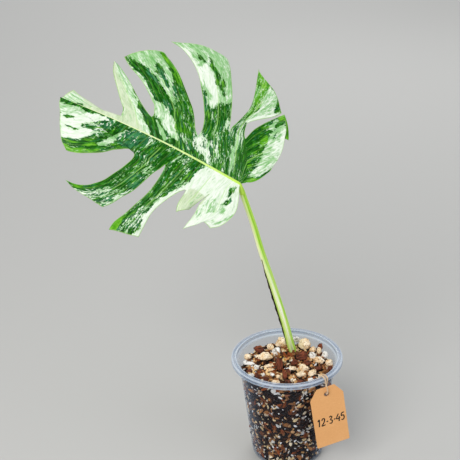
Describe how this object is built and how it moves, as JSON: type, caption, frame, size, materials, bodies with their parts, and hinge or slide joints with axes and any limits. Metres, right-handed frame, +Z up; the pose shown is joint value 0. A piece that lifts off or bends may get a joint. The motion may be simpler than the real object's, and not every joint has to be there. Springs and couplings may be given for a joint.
{
  "type": "potted variegated monstera cutting",
  "caption": "Rooted white-variegated monstera cutting with a split leaf on a tall leaning stalk, in a clear tapered pot of chunky bark mix with a card tag on twine.",
  "frame": {"origin": "centre of the pot's flat underside, on the surface that it stands on", "axes": "+Z up along the pot's axis, -Y towards the viewer of the picture, +X to the viewer's right; the leaf leans to -X"},
  "size_m": [0.2596, 0.139, 0.4073],
  "materials": {
    "clear_plastic": "thin clear thermoformed plastic, slightly blue, glossy",
    "bark_mix": "damp chunky mix of composted bark, charcoal, pumice and perlite",
    "stem": "green to brown cut stem, under the mix",
    "root": "pale fleshy roots, under the mix",
    "petiole": "smooth yellow-green living stalk with a cream stripe, satin",
    "variegated_leaf": "living leaf, dark green marbled with white, cream and pale green, semi-gloss",
    "dry_sheath": "dry brown papery edge, matt",
    "kraft_card": "plain kraft card with handwritten black digits, matt",
    "jute_twine": "twisted jute twine",
    "pumice": "rough worn tan pumice, matt",
    "perlite": "white expanded perlite, matt",
    "bark": "red-brown bark flakes, matt",
    "feed_grain": "yellow coated slow-release feed grain"
  },
  "bodies": {
    "root": {"pot": "clear_plastic", "potting_mix": "bark_mix", "stem_cutting": "stem", "root_1": "root", "root_2": "root", "root_3": "root", "root_4": "root", "petiole": "petiole", "leaf_blade": "variegated_leaf", "dry_sheath": "dry_sheath", "tag": "kraft_card", "tag_twine": "jute_twine", "pumice_01": "pumice", "pumice_02": "pumice", "pumice_03": "pumice", "pumice_04": "pumice", "pumice_05": "pumice", "pumice_06": "pumice", "pumice_07": "pumice", "pumice_08": "pumice", "pumice_09": "pumice", "pumice_10": "pumice", "pumice_11": "pumice", "pumice_12": "pumice", "pumice_13": "pumice", "pumice_14": "pumice", "pumice_15": "pumice", "pumice_16": "pumice", "pumice_17": "pumice", "perlite_01": "perlite", "perlite_02": "perlite", "perlite_03": "perlite", "perlite_04": "perlite", "perlite_05": "perlite", "perlite_06": "perlite", "perlite_07": "perlite", "perlite_08": "perlite", "perlite_09": "perlite", "bark_01": "bark", "bark_02": "bark", "bark_03": "bark", "bark_04": "bark", "bark_05": "bark", "bark_06": "bark", "bark_07": "bark", "bark_08": "bark", "bark_09": "bark", "bark_10": "bark", "bark_11": "bark", "bark_12": "bark", "bark_13": "bark", "bark_14": "bark", "bark_15": "bark", "bark_16": "bark", "bark_17": "bark", "feed_grain_1": "feed_grain", "feed_grain_2": "feed_grain", "feed_grain_3": "feed_grain", "feed_grain_4": "feed_grain"}
  },
  "joints": []
}
